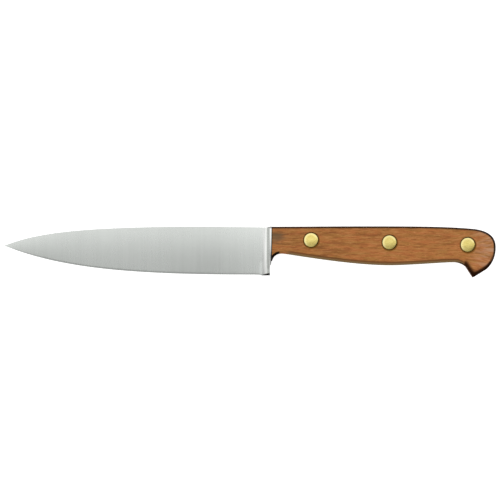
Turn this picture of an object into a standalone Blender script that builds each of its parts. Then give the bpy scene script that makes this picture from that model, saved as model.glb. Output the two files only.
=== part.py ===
"""A kitchen paring knife at its real size, lying on its right side.

Blade, bolster and tang are one forging. Two wooden scales lie on the tang, held by three rivets,
each of a brass tube half and a brass pin half. X runs along the knife with the tip at -X, +Y is
towards the spine, and +Z is up, out of the left side. The pieces are modelled around the joint
corner, where the bolster's back face meets the handle's top line, halfway through the thickness.
"""

import math

import bmesh
import bpy
from mathutils import Vector
from mathutils.geometry import interpolate_bezier

# Blade
BLADE_LENGTH = 0.1311  # bolster's back face to the tip
BLADE_DEPTH = 0.0232  # spine to edge in front of the bolster
SPINE_STEP = 0.00026  # the spine starts this far below the bolster's top
CREST_FROM_BOLSTER = 0.033  # the spine is highest here
CREST_RISE = 0.00036
TIP_DROP = 0.0092  # handle's top line to the tip
TIP_HEIGHT = 0.00025
SPINE_THICKNESS = 0.0026
TIP_THICKNESS = 0.0010
TIP_LEAST = 0.20  # share of that thickness left at the very tip
TIP_THINNING = 0.0140  # the tip thins by the blade's depth over this depth
EDGE_THICKNESS = 0.0004  # above the sharpened bevel
SHARP_THICKNESS = 0.0001
BEVEL_DEPTH = 0.0007
GRIND_BULGE = 0.6  # 0 is a flat grind

# Bolster
BOLSTER_LENGTH = 0.0085  # start of the flare to the back face
BOLSTER_LAND = 0.00095  # straight part behind the flare
FLARE_POWER = 8.0  # the flare widens by this power of the way along it
BOLSTER_LEAN = math.radians(1.0)  # the back face leans forward at its foot
BOLSTER_PROUD = 0.0001  # above the handle's top line
BOLSTER_STEP_LENGTH = 0.0012  # the spine rises to the bolster's top over this length
TOP_ROUNDING_LENGTH = 0.0022  # the rounding of the top grows over this length
HEEL_WIDTH = 0.0065
HEEL_DROP = 0.00043  # heel below the edge
HEEL_DROP_START = 0.0068  # the edge falls to the heel between these distances from the joint
HEEL_DROP_END = 0.0046
HEEL_CHAMFER = 0.0010  # height of the chamfer under the heel
HEEL_SLOPE = 1.3  # width it takes off for each unit of its height
HEEL_INSET = 0.0009  # the heel's back is this far in front of the joint corner
WIDTH_FALL = 6.0  # power of the fall from the handle's width to the heel's

# Handle
HANDLE_LENGTH = 0.1096  # bolster's back face to the butt
HANDLE_WIDTH = 0.0130  # over both scales
HANDLE_ROUNDING = 0.0015  # round the scales' outer faces
TANG_THICKNESS = 0.0030
TANG_ROOT = 0.0016  # reaches this far into the bolster
TANG_TOE = 0.0010  # its foot runs this far into the bolster
TANG_FOOT = 0.0006  # and ends this far below the scales
ARCH_FROM_JOINT = 0.045  # the top line is highest here
ARCH_RISE = 0.0002
SHOULDER_FROM_BUTT = 0.0116
SHOULDER_DROP = 0.0010
BUTT_DROP = 0.0106  # top line to the rearmost point
CHIN_FROM_BUTT = 0.0050
CHIN_DROP = 0.0211
BEAK_FROM_BUTT = 0.01115
BEAK_BELOW_HEEL = 0.00099  # the knife's lowest point
THROAT_FROM_BUTT = 0.01445
THROAT_DROP = 0.0198
RECESS_FROM_BUTT = 0.0207
RECESS_DROP = 0.0174
BELLY_FROM_JOINT = 0.058
BELLY_DROP = 0.0189
NECK_FROM_JOINT = 0.005
NECK_DROP = 0.0132
FILLET_HEIGHT = 0.0036  # fillet behind the bolster, down to the foot of the scales
FILLET_FOOT = 0.00015  # the foot is this far behind the joint corner
FOOT_CURVE = 0.0028  # the steel below the scales curves forward to the heel's back over this height

# Rivets
RIVET_NAMES = ("front", "middle", "rear")
RIVET_FROM_JOINT = 0.0192
RIVET_FROM_BUTT = 0.0137
RIVET_FRONT_DROP = 0.0065
RIVET_REAR_DROP = 0.0088
HEAD_DIAMETER = 0.0070
HEAD_THICKNESS = 0.0013
HEAD_DOME = 0.00025
HEAD_RIM_DROP = 0.000325  # the rim lies this far below the middle of the dome
PIN_DIAMETER = 0.0026
TUBE_WALL = 0.0009
TUBE_TIP = 0.0013  # solid brass between the bore's end and the head's underside

SEAT_GAP = 0.0003  # between pieces that touch
CUT_MARGIN = 0.001  # cutters run this far past a face

# How finely round stretches are divided
OUTLINE_STEPS = 8
ROUNDING_STEPS = 4
TURN_STEPS = 24
DOME_SHARES = (0, 0.35, 0.65, 0.9)  # of the head's radius
LINE_STEPS = 24
BLADE_COLUMNS = 24
COLUMN_CROWDING = 1.5  # the columns crowd towards the tip by this power
FLARE_CROWDING = 4.0  # and those of the flare crowd towards its wide end by this one
FLARE_COLUMNS = 12
GRIND_ROWS = 5
BEVEL_SHARES = (0, 0.2, 1)  # rows up the sharpened bevel
TOP_SHARES = (1, 0.55, 0.2, 0.05, 0)  # rows up the rounding at the spine
HEEL_SHARES = (1, 1.4)  # rows up the heel's chamfer
FOOT_SHARES = (1, 0.75, 0.5)  # rows up the curve below the scales

HALF_WIDTH = HANDLE_WIDTH / 2
HEAD_UNDERSIDE = HALF_WIDTH - HEAD_THICKNESS
FLARE_LENGTH = BOLSTER_LENGTH - BOLSTER_LAND
SPINE_START = -SPINE_STEP
EDGE_LINE = SPINE_START - BLADE_DEPTH
HEEL_LINE = EDGE_LINE - HEEL_DROP
BEAK_LINE = HEEL_LINE - BEAK_BELOW_HEEL
SCALE_FOOT = -NECK_DROP - FILLET_HEIGHT
ROOT_FOOT = SCALE_FOOT - TANG_FOOT


def clear_scene():
    for thing in list(bpy.data.objects):
        bpy.data.objects.remove(thing, do_unlink=True)


def new_collection(name):
    collection = bpy.data.collections.new(name)
    bpy.context.scene.collection.children.link(collection)
    return collection


def new_material(name, color, metallic, roughness):
    material = bpy.data.materials.new(name)
    material.use_nodes = True
    shader = material.node_tree.nodes["Principled BSDF"]
    shader.inputs["Base Color"].default_value = (*color, 1.0)
    shader.inputs["Metallic"].default_value = metallic
    shader.inputs["Roughness"].default_value = roughness
    material.diffuse_color = (*color, 1.0)
    return material


def new_part(name, mesh, collection, parent, material):
    part = bpy.data.objects.new(name, mesh)
    part.parent = parent
    collection.objects.link(part)
    if not mesh.materials:
        mesh.materials.append(material)
    return part


def new_cutter(name, mesh, collection, parent):
    cutter = bpy.data.objects.new(name, mesh)
    cutter.parent = parent
    cutter.hide_render = True
    cutter.display_type = "WIRE"
    collection.objects.link(cutter)
    return cutter


def add_boolean(part, other, operation):
    modifier = part.modifiers.new(f"{operation.lower()} {other.name}", "BOOLEAN")
    modifier.operation = operation
    modifier.object = other
    modifier.solver = "EXACT"


def point_along(curve, x):
    """Height of a chain of points at x, the points being in order of x."""
    for (x0, y0), (x1, y1) in zip(curve, curve[1:]):
        if x <= x1:
            return y0 + (y1 - y0) * (x - x0) / (x1 - x0)
    return curve[-1][1]


# Outlines are lists of knots: x, y, heading in degrees, and how far the curve's handles reach
# before and after the knot as a share of the way to the next one. A reach of 0 is a corner.
def knot_handles(knots, closed):
    """Each knot's place with its two Bezier handles, which are None at a corner."""
    placed = []
    for index, (x, y, heading, before, after) in enumerate(knots):
        place = Vector((x, y, 0))
        way = Vector((math.cos(math.radians(heading)), math.sin(math.radians(heading)), 0))
        last = knots[index - 1] if closed or index else knots[index]
        following = knots[(index + 1) % len(knots)]
        back = (place - Vector((last[0], last[1], 0))).length * before
        ahead = (place - Vector((following[0], following[1], 0))).length * after
        placed.append((place, place - way * back if before else None, place + way * ahead if after else None))
    return placed


def open_outline(knots, steps):
    """Points along an open chain of knots, as (x, y)."""
    placed = knot_handles(knots, closed=False)
    points = [tuple(placed[0][0].xy)]
    for (start, _, leave), (end, arrive, _) in zip(placed, placed[1:]):
        stretch = interpolate_bezier(start, leave or start, arrive or end, end, steps + 1)
        points += [tuple(point.xy) for point in stretch[1:]]
    return points


def outline_solid(name, knots, low, high):
    """A closed outline filled and extruded from height low to high, as a welded mesh."""
    curve = bpy.data.curves.new(name, "CURVE")
    curve.dimensions = "2D"
    curve.fill_mode = "BOTH"
    curve.extrude = (high - low) / 2
    curve.resolution_u = OUTLINE_STEPS
    spline = curve.splines.new("BEZIER")
    spline.bezier_points.add(len(knots) - 1)
    spline.use_cyclic_u = True
    for point, (place, before, after) in zip(spline.bezier_points, knot_handles(knots, closed=True)):
        point.co = place
        point.handle_left_type = "FREE" if before else "VECTOR"
        point.handle_right_type = "FREE" if after else "VECTOR"
        point.handle_left = before or place
        point.handle_right = after or place
    outline = bpy.data.objects.new(name, curve)
    outline.location.z = (low + high) / 2
    bpy.context.scene.collection.objects.link(outline)
    bpy.context.view_layer.update()
    graph = bpy.context.evaluated_depsgraph_get()
    mesh = bpy.data.meshes.new_from_object(outline.evaluated_get(graph))
    mesh.transform(outline.matrix_world)
    bpy.data.objects.remove(outline, do_unlink=True)
    bpy.data.curves.remove(curve)
    solid = bmesh.new()
    solid.from_mesh(mesh)
    bmesh.ops.remove_doubles(solid, verts=solid.verts, dist=1e-6)
    for direction in (1, -1):
        cap = [face for face in solid.faces if face.normal.z * direction > 0.5]
        bmesh.ops.dissolve_faces(solid, faces=cap)
    bmesh.ops.recalc_face_normals(solid, faces=solid.faces)
    solid.to_mesh(mesh)
    solid.free()
    return mesh


def handle_outline(front_knots):
    """The handle's side outline from the front of its top line, round the butt, to the fillet."""
    butt = HANDLE_LENGTH
    return front_knots + [
        (ARCH_FROM_JOINT, ARCH_RISE, 0, 0.33, 0.44),
        (butt - SHOULDER_FROM_BUTT, -SHOULDER_DROP, -5, 0.26, 0.78),
        (butt, -BUTT_DROP, -90, 0.17, 0.45),
        (butt - CHIN_FROM_BUTT, -CHIN_DROP, -148, 0.2, 0),
        (butt - BEAK_FROM_BUTT, BEAK_LINE, 180, 0, 0),
        (butt - THROAT_FROM_BUTT, -THROAT_DROP, 126, 0, 0.2),
        (butt - RECESS_FROM_BUTT, -RECESS_DROP, 180, 0.45, 0.16),
        (BELLY_FROM_JOINT, -BELLY_DROP, 180, 0.28, 0.39),
        (NECK_FROM_JOINT, -NECK_DROP, 180, 0.05, 0.58),
        (FILLET_FOOT, SCALE_FOOT, -104, 0.25, 0),
    ]


def back_face_at(y):
    """X of the leaning back face that the scales meet, at height y."""
    return y * math.tan(BOLSTER_LEAN)


def eased(value, start, end):
    """0 before the start and 1 behind the end, with a smooth way between them."""
    share = min(max((value - start) / (end - start), 0), 1)
    return share * share * (3 - 2 * share)


def forging_back_at(y):
    """X of the bolster's back: the leaning face, and below the scales the curve to the heel's back."""
    if y > SCALE_FOOT - 1.5 * SEAT_GAP:
        return back_face_at(y)
    foot = FILLET_FOOT + BOLSTER_PROUD
    return foot - (foot + HEEL_INSET) * eased(SCALE_FOOT - y, 0, FOOT_CURVE)


def rounded(excess, distance, radius):
    """Half-width past the blade's, this far below the rounded top."""
    radius = min(radius, excess)
    if distance >= radius:
        return excess
    return excess - radius + math.sqrt(radius**2 - (radius - distance) ** 2)


def blade_lines():
    """The spine and the edge as chains of points from the tip to the bolster."""
    tip = -BLADE_LENGTH
    spine = [
        (tip, -TIP_DROP + TIP_HEIGHT / 2, 18.5, 0, 0.135),
        (-CREST_FROM_BOLSTER, SPINE_START + CREST_RISE, 0, 0.745, 0.1),
        (0, SPINE_START, 0, 0.2, 0),
    ]
    edge = [
        (tip, -TIP_DROP - TIP_HEIGHT / 2, -21.7, 0, 0.245),
        (-BOLSTER_LENGTH, EDGE_LINE, 0, 0.49, 0.3),
        (0, EDGE_LINE, 0, 0.3, 0),
    ]
    return open_outline(spine, LINE_STEPS), open_outline(edge, LINE_STEPS)


def row_heights(depth, near):
    """Heights above the edge: close together at the bevel, the roundings and the scales' feet.

    Near is the share that the rows at the edge and the spine shrink to where the blade is shallow.
    """
    low_rows = [BEVEL_DEPTH * share for share in BEVEL_SHARES]
    low_rows += [HEEL_CHAMFER * share for share in HEEL_SHARES]
    high_rows = [HANDLE_ROUNDING * share for share in TOP_SHARES]
    grind_start = low_rows[-1]
    grind_length = BOLSTER_PROUD - HEEL_LINE - high_rows[0] - grind_start
    drops = [FOOT_CURVE * share for share in FOOT_SHARES] + [2 * SEAT_GAP, SEAT_GAP]
    # the scales' foot has rows of its own in place of the grind's first
    shares = [row / GRIND_ROWS for row in range(2, GRIND_ROWS)]
    shares += [(SCALE_FOOT - drop - HEEL_LINE - grind_start) / grind_length for drop in drops]
    first, last = grind_start * near, depth - high_rows[0] * near
    heights = [row * near for row in low_rows]
    heights += [first + (last - first) * share for share in sorted(shares)]
    return heights + [depth - row * near for row in high_rows]


def forging_section(x, spine, edge):
    """One upright section of the blade or bolster: (height, half thickness) from edge to spine."""
    along = min(max((x + BOLSTER_LENGTH) / FLARE_LENGTH, 0), 1)
    rise = min(max((x + BOLSTER_LAND + BOLSTER_STEP_LENGTH) / BOLSTER_STEP_LENGTH, 0), 1)
    top = point_along(spine, x) * (1 - rise) + BOLSTER_PROUD * rise
    bottom = point_along(edge, x) - HEEL_DROP * eased(x, -HEEL_DROP_START, -HEEL_DROP_END)
    depth = top - bottom
    taper = min(max(-x / BLADE_LENGTH, 0), 1)
    at_spine = (SPINE_THICKNESS * (1 - taper) + TIP_THICKNESS * taper) / 2
    at_spine *= min(1, TIP_LEAST + depth / TIP_THINNING)
    at_edge = EDGE_THICKNESS / 2
    near = min(1, depth / (BLADE_DEPTH / 2))
    top_rounding = HANDLE_ROUNDING * min(max((x + TOP_ROUNDING_LENGTH) / TOP_ROUNDING_LENGTH, 0), 1)
    section = []
    for height in row_heights(depth, near):
        share = height / depth
        grind = share * (1 + GRIND_BULGE * (1 - share))
        half = at_edge + (at_spine - at_edge) * grind
        sharpness = min(1, height / (BEVEL_DEPTH * near))
        half = SHARP_THICKNESS / 2 + (half - SHARP_THICKNESS / 2) * sharpness
        fall = min(max((depth - height) / depth, 0), 1) ** WIDTH_FALL
        bolster_half = HALF_WIDTH + (HEEL_WIDTH / 2 - HALF_WIDTH) * fall
        excess = (bolster_half - half) * along**FLARE_POWER
        chamfer = min(HEEL_CHAMFER, excess / HEEL_SLOPE)
        excess -= max(0, chamfer - height) * HEEL_SLOPE
        excess = rounded(excess, depth - height, top_rounding)
        section.append((bottom + height, half + excess))
    return section


def blade_mesh():
    """Blade and bolster as a loft of upright sections from the tip to the bolster's back face."""
    spine, edge = blade_lines()
    ground = BLADE_LENGTH - BOLSTER_LENGTH
    steps = range(BLADE_COLUMNS + 1)
    places = [-BLADE_LENGTH + ground * (step / BLADE_COLUMNS) ** COLUMN_CROWDING for step in steps]
    steepness = FLARE_POWER * (HALF_WIDTH - SPINE_THICKNESS / 2) / FLARE_LENGTH
    for step in range(1, FLARE_COLUMNS + 1):
        slope = math.tan(math.atan(steepness) * step / FLARE_COLUMNS)
        places.append(-BOLSTER_LENGTH + FLARE_LENGTH * (slope / steepness) ** (1 / FLARE_CROWDING))
    sections = [[(x, y, half) for y, half in forging_section(x, spine, edge)] for x in places]
    back = forging_section(0, spine, edge)
    sections.append([(forging_back_at(y), y, half) for y, half in back])
    shape = bmesh.new()
    left = [[shape.verts.new((x, y, half)) for x, y, half in section] for section in sections]
    right = [[shape.verts.new((x, y, -half)) for x, y, half in section] for section in sections]
    for column in range(len(sections) - 1):
        for side in (left, right):
            for low, high in zip(range(len(back) - 1), range(1, len(back))):
                shape.faces.new(
                    (side[column][low], side[column + 1][low], side[column + 1][high], side[column][high])
                )
        for row in (0, -1):
            shape.faces.new((left[column][row], left[column + 1][row], right[column + 1][row], right[column][row]))
    for column in (0, -1):
        for low in range(len(back) - 1):
            shape.faces.new(
                (left[column][low], left[column][low + 1], right[column][low + 1], right[column][low])
            )
    bmesh.ops.recalc_face_normals(shape, faces=shape.faces)
    mesh = bpy.data.meshes.new("blade_and_tang")
    shape.to_mesh(mesh)
    shape.free()
    mesh.shade_smooth()
    mesh.set_sharp_from_angle(angle=math.radians(30))
    return mesh


def add_forging(parts, cutters, parent, steel, rivet_seats):
    forging = new_part("blade_and_tang", blade_mesh(), parts, parent, steel)
    root = [
        (-TANG_TOE, ROOT_FOOT, 0, 0, 0),
        (-TANG_ROOT, ROOT_FOOT, 0, 0, 0),
        (-TANG_ROOT, -2 * HANDLE_ROUNDING, 0, 0, 0),
        (-SEAT_GAP, -2 * BOLSTER_PROUD, 0, 0, 0),
        (SEAT_GAP, 0, 0, 0, 0.33),
    ]
    tang = outline_solid("tang_blank", handle_outline(root), -TANG_THICKNESS / 2, TANG_THICKNESS / 2)
    blank = new_cutter("tang_blank", tang, cutters, parent)
    for seat in rivet_seats:
        add_boolean(blank, seat, "DIFFERENCE")
    add_boolean(forging, blank, "UNION")


def scale_mesh(name, side):
    """A handle slab, rounded all round its outer face. Side is 1 for the left, -1 for the right."""
    stub = [
        (-HANDLE_ROUNDING, EDGE_LINE, 0, 0, 0),
        (-3 * HANDLE_ROUNDING, EDGE_LINE, 0, 0, 0),
        (-3 * HANDLE_ROUNDING, 0, 0, 0, 0.33),
    ]
    inner = side * (TANG_THICKNESS / 2 + SEAT_GAP)
    outer = side * HALF_WIDTH
    mesh = outline_solid(name, handle_outline(stub), min(inner, outer), max(inner, outer))
    slab = bmesh.new()
    slab.from_mesh(mesh)
    weight = slab.edges.layers.float.new("bevel_weight_edge")
    for edge in slab.edges:
        on_outer_face = all(abs(corner.co.z - outer) < SEAT_GAP for corner in edge.verts)
        edge[weight] = 1.0 if on_outer_face else 0.0
    slab.to_mesh(mesh)
    slab.free()
    return mesh


def add_scale(name, side, parts, parent, wood, cuts):
    scale = new_part(name, scale_mesh(name, side), parts, parent, wood)
    rounding = scale.modifiers.new("rounding", "BEVEL")
    rounding.limit_method = "WEIGHT"
    rounding.width = HANDLE_ROUNDING
    rounding.segments = ROUNDING_STEPS
    rounding.use_clamp_overlap = False
    for cut in cuts:
        add_boolean(scale, cut, "DIFFERENCE")
    scale.data.shade_smooth()
    scale.data.set_sharp_from_angle(angle=math.radians(40))


def bolster_clearance(cutters, parent):
    """The block that trims the scales along the bolster's back face and across their feet."""
    above = 2 * HANDLE_ROUNDING
    gap = SEAT_GAP / math.cos(BOLSTER_LEAN)
    front, bottom = -6 * HANDLE_ROUNDING, 2 * EDGE_LINE
    corners = [
        (back_face_at(above) + gap, above),
        (back_face_at(SCALE_FOOT) + gap, SCALE_FOOT),
        (FILLET_FOOT + SEAT_GAP, SCALE_FOOT),
        (FILLET_FOOT + SEAT_GAP, bottom),
        (front, bottom),
        (front, above),
    ]
    knots = [(x, y, 0, 0, 0) for x, y in corners]
    half = HALF_WIDTH + CUT_MARGIN
    mesh = outline_solid("bolster_clearance", knots, -half, half)
    return new_cutter("bolster_clearance", mesh, cutters, parent)


def turned_mesh(name, profile):
    """A profile of (radius, height) points, from the top down its outer side."""
    mesh = bpy.data.meshes.new(name)
    mesh.from_pydata(
        [(radius, 0, height) for radius, height in profile],
        [(index, index + 1) for index in range(len(profile) - 1)],
        [],
    )
    return mesh


def add_turning(thing):
    turning = thing.modifiers.new("turning", "SCREW")
    turning.steps = TURN_STEPS
    turning.render_steps = TURN_STEPS
    turning.use_merge_vertices = True
    turning.merge_threshold = 1e-6
    turning.use_smooth_shade = True


def head_profile():
    """The domed top of a rivet head, from its middle out and down to its underside."""
    radius = HEAD_DIAMETER / 2
    dome = [(radius * share, HALF_WIDTH - HEAD_DOME * share**2) for share in DOME_SHARES]
    return dome + [(radius, HALF_WIDTH - HEAD_RIM_DROP), (radius, HEAD_UNDERSIDE)]


def rivet_places():
    """The rivets' axes, evenly spaced from the front one to the rear one."""
    first = Vector((RIVET_FROM_JOINT, -RIVET_FRONT_DROP, 0))
    last = Vector((HANDLE_LENGTH - RIVET_FROM_BUTT, -RIVET_REAR_DROP, 0))
    count = len(RIVET_NAMES)
    return [first.lerp(last, index / (count - 1)) for index in range(count)]


def add_rivet_seats(cutters, parent):
    """Cutters for the stepped holes: a round seat in each scale and a hole right through."""
    seat_radius = HEAD_DIAMETER / 2 + SEAT_GAP
    hole_radius = PIN_DIAMETER / 2 + TUBE_WALL + 2 * SEAT_GAP
    floor = HEAD_UNDERSIDE - SEAT_GAP
    top = HALF_WIDTH + CUT_MARGIN
    upper = [(0, top), (seat_radius, top), (seat_radius, floor), (hole_radius, floor)]
    lower = [(radius, -height) for radius, height in reversed(upper)]
    mesh = turned_mesh("rivet_seat", upper + lower)
    seats = []
    for name, place in zip(RIVET_NAMES, rivet_places()):
        seat = new_cutter(f"rivet_seat_{name}", mesh, cutters, parent)
        seat.location = place
        add_turning(seat)
        seats.append(seat)
    return seats


def add_rivets(parts, parent, brass):
    bore_radius = PIN_DIAMETER / 2 + SEAT_GAP
    shank_radius = bore_radius + TUBE_WALL
    shank_end = -HEAD_UNDERSIDE + SEAT_GAP
    bore_end = HEAD_UNDERSIDE - TUBE_TIP
    tube = head_profile() + [
        (shank_radius, HEAD_UNDERSIDE),
        (shank_radius, shank_end),
        (bore_radius, shank_end),
        (bore_radius, bore_end),
        (0, bore_end),
    ]
    pin_end = -bore_end + SEAT_GAP
    pin = head_profile() + [
        (PIN_DIAMETER / 2, HEAD_UNDERSIDE),
        (PIN_DIAMETER / 2, pin_end),
        (0, pin_end),
    ]
    halves = (("tube", turned_mesh("rivet_tube", tube), 0), ("pin", turned_mesh("rivet_pin", pin), math.pi))
    for name, place in zip(RIVET_NAMES, rivet_places()):
        for half, mesh, turn in halves:
            rivet = new_part(f"rivet_{name}_{half}", mesh, parts, parent, brass)
            rivet.location = place
            rivet.rotation_euler.x = turn
            add_turning(rivet)


def stand_on_origin(parts, parent):
    """Moves the whole knife so that it lies on z = 0 with the middle of its box over the origin."""
    bpy.context.view_layer.update()
    graph = bpy.context.evaluated_depsgraph_get()
    corners = []
    for part in parts.objects:
        if part.type != "MESH":
            continue
        evaluated = part.evaluated_get(graph)
        corners += [evaluated.matrix_world @ Vector(corner) for corner in evaluated.bound_box]
    low = Vector([min(corner[axis] for corner in corners) for axis in range(3)])
    high = Vector([max(corner[axis] for corner in corners) for axis in range(3)])
    parent.location -= Vector(((low.x + high.x) / 2, (low.y + high.y) / 2, low.z))
    bpy.context.view_layer.update()


def main():
    clear_scene()
    parts = new_collection("paring_knife")
    cutters = new_collection("cutters")
    joint_corner = bpy.data.objects.new("joint_corner", None)
    parts.objects.link(joint_corner)
    steel = new_material("satin steel", (0.60, 0.62, 0.60), 1.0, 0.32)
    wood = new_material("oiled plum wood", (0.34, 0.15, 0.052), 0.0, 0.42)
    brass = new_material("polished brass", (0.75, 0.57, 0.21), 1.0, 0.25)
    seats = add_rivet_seats(cutters, joint_corner)
    add_forging(parts, cutters, joint_corner, steel, seats)
    cuts = [bolster_clearance(cutters, joint_corner), *seats]
    add_scale("scale_left", 1, parts, joint_corner, wood, cuts)
    add_scale("scale_right", -1, parts, joint_corner, wood, cuts)
    add_rivets(parts, joint_corner, brass)
    stand_on_origin(parts, joint_corner)


main()
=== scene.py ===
import math

import bmesh
import bpy
from mathutils import Matrix, Vector
from mathutils.geometry import interpolate_bezier


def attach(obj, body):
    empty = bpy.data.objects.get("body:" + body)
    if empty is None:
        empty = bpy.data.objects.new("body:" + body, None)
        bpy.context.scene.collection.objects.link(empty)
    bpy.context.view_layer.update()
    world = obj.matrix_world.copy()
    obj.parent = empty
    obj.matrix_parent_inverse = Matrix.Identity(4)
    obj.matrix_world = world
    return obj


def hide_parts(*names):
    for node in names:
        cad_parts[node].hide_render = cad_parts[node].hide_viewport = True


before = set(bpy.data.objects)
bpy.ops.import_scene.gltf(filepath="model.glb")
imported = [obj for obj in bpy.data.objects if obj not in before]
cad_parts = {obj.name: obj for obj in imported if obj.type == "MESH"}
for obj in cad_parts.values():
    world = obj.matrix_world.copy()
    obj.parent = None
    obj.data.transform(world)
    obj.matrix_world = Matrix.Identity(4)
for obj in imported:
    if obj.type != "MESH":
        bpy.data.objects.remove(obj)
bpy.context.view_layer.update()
print("frame loaded,", len(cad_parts), "solids")

# the bolster's back face meets the handle's top line here, halfway through the thickness; shapes
# and materials are measured from this corner, and a row is a height above it
jointCorner = Vector((0.01075, 0.01234, 0.0065))
halfWidth = 0.0065  # half the handle's width
spineRow = -0.00026  # the spine at the bolster
edgeRow = -0.02346  # the edge in front of the heel
heelRow = -0.02389  # the heel's lower end
scaleFoot = -0.0168  # the scales' lower front corner
scaleFront = 0.00015  # and how far behind the joint corner it lies
backLean = math.tan(math.radians(1))  # the bolster's back face leans forward at its foot
rivetPlaces = [(0.0192, -0.0065), (0.05755, -0.00765), (0.0959, -0.0088)]
weldDistance = 1e-7  # points closer than this are one


# camera, floor and light

view = {
    "middle": (0.00006, 0.00095),  # what the middle of the picture looks at
    "width": 0.2452,
    "distance": 3.0,
    "sensor": 36.0,
    "clip": (0.1, 20),
}


def addCamera():
    cameraData = bpy.data.cameras.new("camera")
    cameraData.sensor_width = view["sensor"]
    cameraData.lens = view["sensor"] * view["distance"] / view["width"]
    cameraData.clip_start, cameraData.clip_end = view["clip"]
    camera = bpy.data.objects.new("camera", cameraData)
    camera.location = (*view["middle"], halfWidth + view["distance"])
    bpy.context.scene.collection.objects.link(camera)
    bpy.context.scene.camera = camera


def feed(tree, socket, value):
    # links another node's socket, or sets a number, a vector or a colour
    if isinstance(value, bpy.types.NodeSocket):
        tree.links.new(value, socket)
    elif socket.type == "RGBA":
        socket.default_value = (*value, 1.0)
    else:
        socket.default_value = value


def addNode(tree, kind, settings=None, **inputs):
    # inputs go by the socket's name, or by i and its number
    node = tree.nodes.new(kind)
    for name, value in (settings or {}).items():
        setattr(node, name, value)
    for name, value in inputs.items():
        feed(tree, node.inputs[int(name[1:]) if name[1:].isdigit() else name], value)
    return node


def maths(tree, operation, first, second=0.0):
    return addNode(tree, "ShaderNodeMath", {"operation": operation}, i0=first, i1=second).outputs[0]


def plus(tree, first, second):
    return maths(tree, "ADD", first, second)


def minus(tree, first, second):
    return maths(tree, "SUBTRACT", first, second)


def times(tree, first, *others):
    for other in others:
        first = maths(tree, "MULTIPLY", first, other)
    return first


def vectorMaths(tree, operation, first, second=(0, 0, 0)):
    return addNode(tree, "ShaderNodeVectorMath", {"operation": operation}, i0=first, i1=second)


def smooth(tree, value, low, high, fromValue=0.0, toValue=1.0):
    # runs from fromValue to toValue while value goes from low to high
    ends = {"From Min": low, "From Max": high, "To Min": fromValue, "To Max": toValue}
    settings = {"interpolation_type": "SMOOTHSTEP"}
    return addNode(tree, "ShaderNodeMapRange", settings, Value=value, **ends).outputs["Result"]


def between(tree, value, start, end):
    # 1 between the two changes and 0 outside them
    return times(tree, smooth(tree, value, *start), smooth(tree, value, *end))


def blend(tree, factor, first, second):
    # the number between two others
    return addNode(tree, "ShaderNodeMix", i0=factor, i2=first, i3=second).outputs[0]


def mixColors(tree, factor, first, second, kind="MIX"):
    settings = {"data_type": "RGBA", "blend_type": kind, "clamp_result": False}
    return addNode(tree, "ShaderNodeMix", settings, i0=factor, i6=first, i7=second).outputs[2]


# a direction's parts run from -1 to 1: along points to the butt, across to the spine's side, and up;
# a pair is where a change starts and where it is complete, and two more numbers are its values there
studio = {
    "ambient": 0.03,
    # a bank overhead, brighter on the spine's side
    "overhead": 1.245,
    "overheadEdge": (0.50, 0.90),  # up
    "front": 0.50,
    "frontEdge": (0.20, 0.40),  # up
    "frontStep": (-0.12, -0.02),  # across, where the two parts meet
    "frontFade": (0.35, 0.05, 0.25, 1.0),  # along
    # a panel on the tip's side, down to the table
    "left": (0.45, 0.75, 1.22, 1.00),  # up
    "leftEdge": (-0.15, -0.50),  # along
    "leftBelow": (-0.05, 0.0, 0.35, 1.0),  # up
    # a panel on the butt's side
    "right": (0.55, 0.80, 0.0, 0.90),  # along
    "rightFoot": (0.05, 0.20),  # up
    "rightEdge": (-0.15, 0.0),  # across
    # the room all round, and what the table sends back up
    "room": (0.62, 0.42, 0.0, 0.55),  # up
    "roomBelow": (-0.10, 0.05, 0.65, 1.0),  # up
}


def addStudioLight():
    world = bpy.data.worlds.new("studio")
    bpy.context.scene.world = world
    world.use_nodes = True
    tree = world.node_tree
    tree.nodes.clear()
    direction = tree.nodes.new("ShaderNodeTexCoord").outputs["Generated"]
    along, across, up = addNode(tree, "ShaderNodeSeparateXYZ", i0=direction).outputs
    low, high = studio["frontStep"]
    bank = smooth(tree, across, low, high, 0.0, studio["overhead"])
    bank = times(tree, bank, smooth(tree, up, *studio["overheadEdge"]))
    front = smooth(tree, across, high, low, 0.0, studio["front"])
    front = times(tree, front, smooth(tree, up, *studio["frontEdge"]))
    front = times(tree, front, smooth(tree, along, *studio["frontFade"]))
    left = times(tree, smooth(tree, up, *studio["left"]), smooth(tree, up, *studio["leftBelow"]))
    right = times(tree, smooth(tree, along, *studio["right"]), smooth(tree, up, *studio["rightFoot"]))
    right = times(tree, right, smooth(tree, across, *studio["rightEdge"]))
    room = times(tree, smooth(tree, up, *studio["room"]), smooth(tree, up, *studio["roomBelow"]))
    glow = plus(tree, plus(tree, bank, front), maths(tree, "MAXIMUM", right, room))
    glow = blend(tree, smooth(tree, along, *studio["leftEdge"]), glow, left)
    glow = plus(tree, glow, studio["ambient"])
    lit = addNode(tree, "ShaderNodeBackground", Color=(1, 1, 1), Strength=glow)
    seen = addNode(tree, "ShaderNodeBackground", Color=(1, 1, 1), Strength=1.0)
    fromCamera = tree.nodes.new("ShaderNodeLightPath").outputs["Is Camera Ray"]
    choice = addNode(tree, "ShaderNodeMixShader", i0=fromCamera, i1=lit.outputs[0], i2=seen.outputs[0])
    addNode(tree, "ShaderNodeOutputWorld", Surface=choice.outputs[0])


def newMaterial(name):
    material = bpy.data.materials.new(name)
    material.use_nodes = True
    return material, material.node_tree, material.node_tree.nodes["Principled BSDF"]


table = {
    "color": (0.8, 0.8, 0.8),
    "roughness": 0.9,
    "glow": 0.86,
    "size": 8.0,
    "drop": 0.0002,  # below the knife
}


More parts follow.
